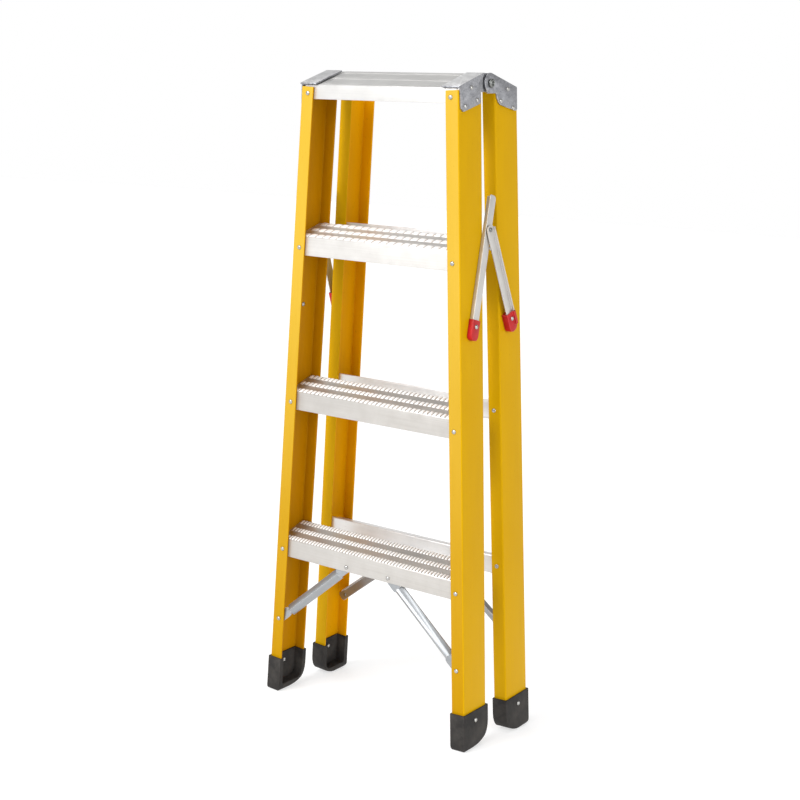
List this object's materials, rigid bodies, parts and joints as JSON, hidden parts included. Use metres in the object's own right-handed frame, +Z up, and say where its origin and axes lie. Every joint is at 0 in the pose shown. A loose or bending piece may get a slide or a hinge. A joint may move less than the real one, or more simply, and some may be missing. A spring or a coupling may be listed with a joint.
{
  "type": "platform step ladder",
  "caption": "Folding step ladder with a narrow top platform: fibreglass front and rear frames hinged at the top, serrated metal treads, knee braces, rubber boots and pivoting spreader arms.",
  "frame": {"origin": "on the floor, in the middle of the folded ladder's footprint", "axes": "+Z up, -Y towards the side that is climbed, +X to the ladder's right as seen from that side"},
  "size_m": [0.488, 0.3126, 1.2353],
  "materials": {
    "fibreglass": "satin pultruded glass-fibre composite",
    "aluminium": "mill-finish extrusion with serrated ribs",
    "galvanised_steel": "mottled zinc plating",
    "rivet_steel": "bright zinc-plated rivets",
    "boot_rubber": "matt moulded rubber",
    "red_plastic": "moulded plastic cap"
  },
  "bodies": {
    "front_frame": {"boot_front_left": "boot_rubber", "boot_front_right": "boot_rubber", "brace_front_left": "aluminium", "brace_front_right": "aluminium", "hinge_pin_left": "rivet_steel", "hinge_pin_right": "rivet_steel", "hinge_plate_front_left": "galvanised_steel", "hinge_plate_front_right": "galvanised_steel", "platform": "aluminium", "rail_front_left": "fibreglass", "rail_front_right": "fibreglass", "rivet_boot_front_left": "rivet_steel", "rivet_boot_front_right": "rivet_steel", "rivet_brace_left": "rivet_steel", "rivet_brace_right": "rivet_steel", "rivet_platform_left": "rivet_steel", "rivet_platform_right": "rivet_steel", "rivet_skirt_left": "rivet_steel", "rivet_skirt_right": "rivet_steel", "rivet_step_1_left": "rivet_steel", "rivet_step_1_right": "rivet_steel", "rivet_step_2_left": "rivet_steel", "rivet_step_2_right": "rivet_steel", "rivet_step_3_left": "rivet_steel", "rivet_step_3_right": "rivet_steel", "step_1": "aluminium", "step_2": "aluminium", "step_3": "aluminium"},
    "rear_frame": {"boot_rear_left": "boot_rubber", "boot_rear_right": "boot_rubber", "brace_rear_left": "aluminium", "brace_rear_right": "aluminium", "crossbar_1": "aluminium", "crossbar_2": "aluminium", "crossbar_3": "aluminium", "hinge_plate_rear_left": "galvanised_steel", "hinge_plate_rear_right": "galvanised_steel", "rail_rear_left": "fibreglass", "rail_rear_right": "fibreglass", "rivet_boot_rear_left": "rivet_steel", "rivet_boot_rear_right": "rivet_steel"},
    "long_arm_left": {"rivet_spreader_front_left": "rivet_steel", "spreader_cap_front_left": "red_plastic", "spreader_long_left": "aluminium"},
    "long_arm_right": {"rivet_spreader_front_right": "rivet_steel", "spreader_cap_front_right": "red_plastic", "spreader_long_right": "aluminium"},
    "short_arm_left": {"rivet_spreader_middle_left": "rivet_steel", "rivet_spreader_rear_left": "rivet_steel", "spreader_cap_rear_left": "red_plastic", "spreader_short_left": "aluminium"},
    "short_arm_right": {"rivet_spreader_middle_right": "rivet_steel", "rivet_spreader_rear_right": "rivet_steel", "spreader_cap_rear_right": "red_plastic", "spreader_short_right": "aluminium"}
  },
  "joints": [
    {"name": "frame_fold", "type": "hinge", "parent": "front_frame", "child": "rear_frame", "pos_m": [0, -0.05692, 1.21727], "axis": [1, 0, 0], "range_deg": [0, 33.7]},
    {"name": "long_arm_left_pivot", "type": "hinge", "parent": "front_frame", "child": "long_arm_left", "pos_m": [-0.1967, -0.08835, 0.78913], "axis": [0.9985, 0.004, -0.0538], "range_deg": [-57.9, 0]},
    {"name": "short_arm_left_pivot", "type": "hinge", "parent": "rear_frame", "child": "short_arm_left", "pos_m": [-0.19705, 0.02448, 0.80118], "axis": [0.9985, 0.0054, -0.0549], "range_deg": [0, 50.92]},
    {"name": "long_arm_right_pivot", "type": "hinge", "parent": "front_frame", "child": "long_arm_right", "pos_m": [0.1967, -0.08835, 0.78913], "axis": [0.9985, -0.004, 0.0538], "range_deg": [-57.9, 0]},
    {"name": "short_arm_right_pivot", "type": "hinge", "parent": "rear_frame", "child": "short_arm_right", "pos_m": [0.19705, 0.02448, 0.80118], "axis": [0.9985, -0.0054, 0.0549], "range_deg": [0, 50.92]}
  ],
  "couplings": [
    {"joint": "long_arm_left_pivot", "follows": "frame_fold", "ratio": -1.7168},
    {"joint": "short_arm_left_pivot", "follows": "frame_fold", "ratio": 1.5095},
    {"joint": "long_arm_right_pivot", "follows": "frame_fold", "ratio": -1.7168},
    {"joint": "short_arm_right_pivot", "follows": "frame_fold", "ratio": 1.5095}
  ]
}
